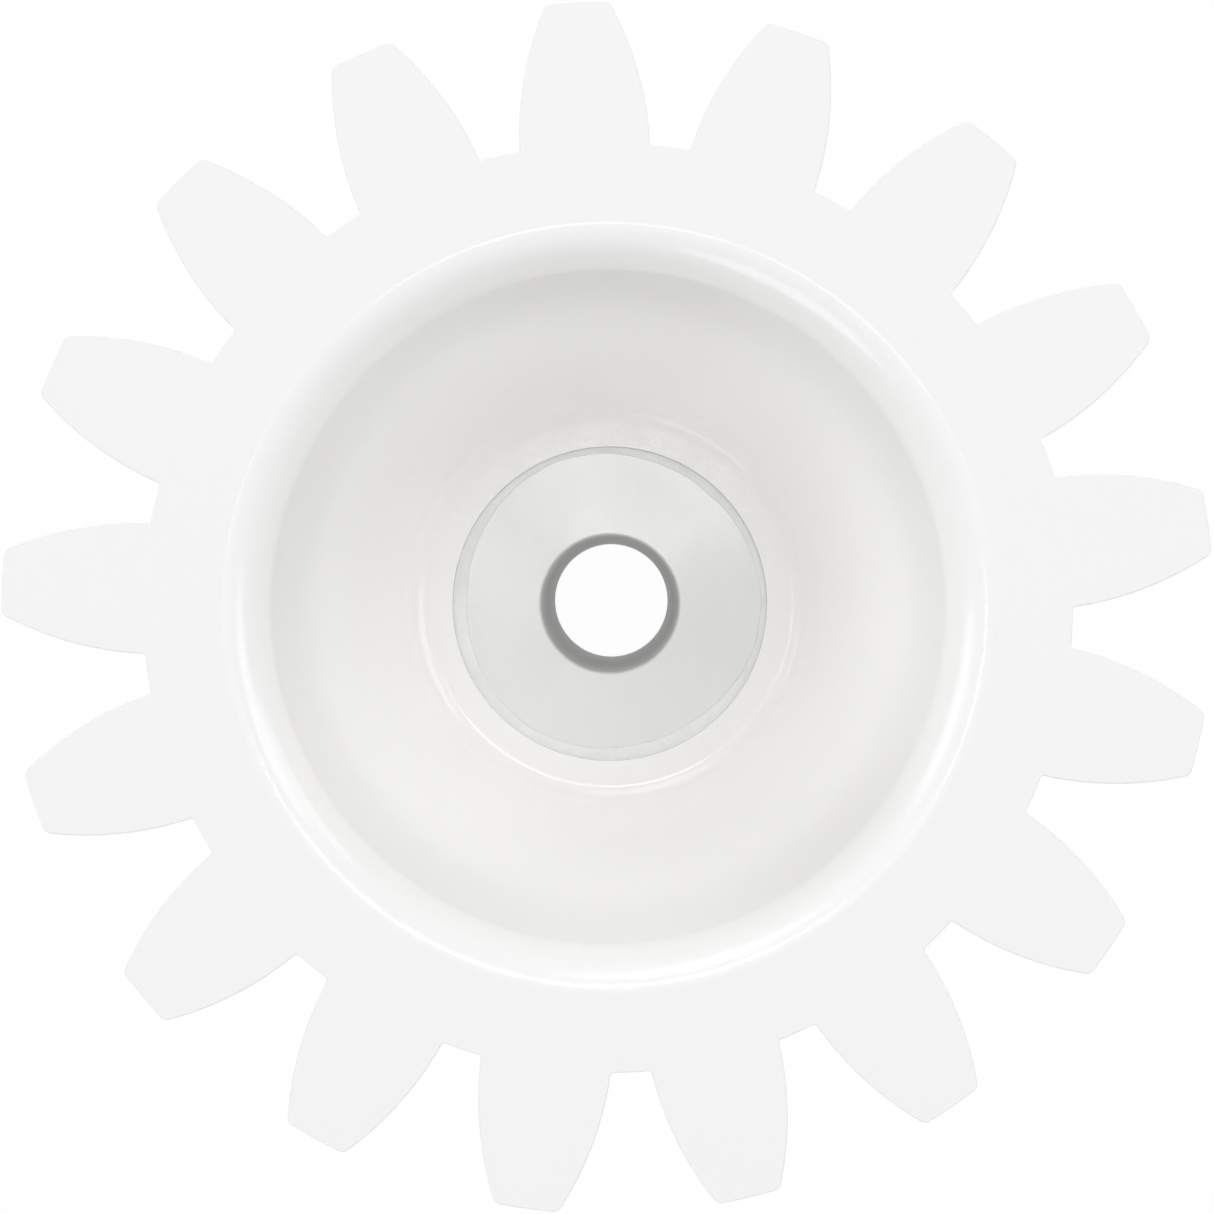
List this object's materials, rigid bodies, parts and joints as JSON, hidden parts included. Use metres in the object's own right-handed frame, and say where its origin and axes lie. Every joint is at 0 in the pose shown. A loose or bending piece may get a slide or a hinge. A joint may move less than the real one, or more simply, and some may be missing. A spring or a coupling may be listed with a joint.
{
  "type": "spur gear",
  "caption": "Moulded white plastic spur gear with 17 straight teeth, a deep tapered recess in its front, a rear boss and a separate keyed hub core with a plain round bore.",
  "frame": {"origin": "centre of the bore at the end face of the rear boss, on which the gear stands", "axes": "+Z along the bore axis towards the recessed front, +X through the middle of one tooth"},
  "size_m": [0.0563, 0.0566, 0.044],
  "materials": {
    "moulded_body": "white acetal moulding, satin to glossy",
    "hub_plastic": "cooler grey-white plastic, faced matt"
  },
  "bodies": {
    "root": {"gear_body": "moulded_body", "hub_core": "hub_plastic"}
  },
  "joints": []
}
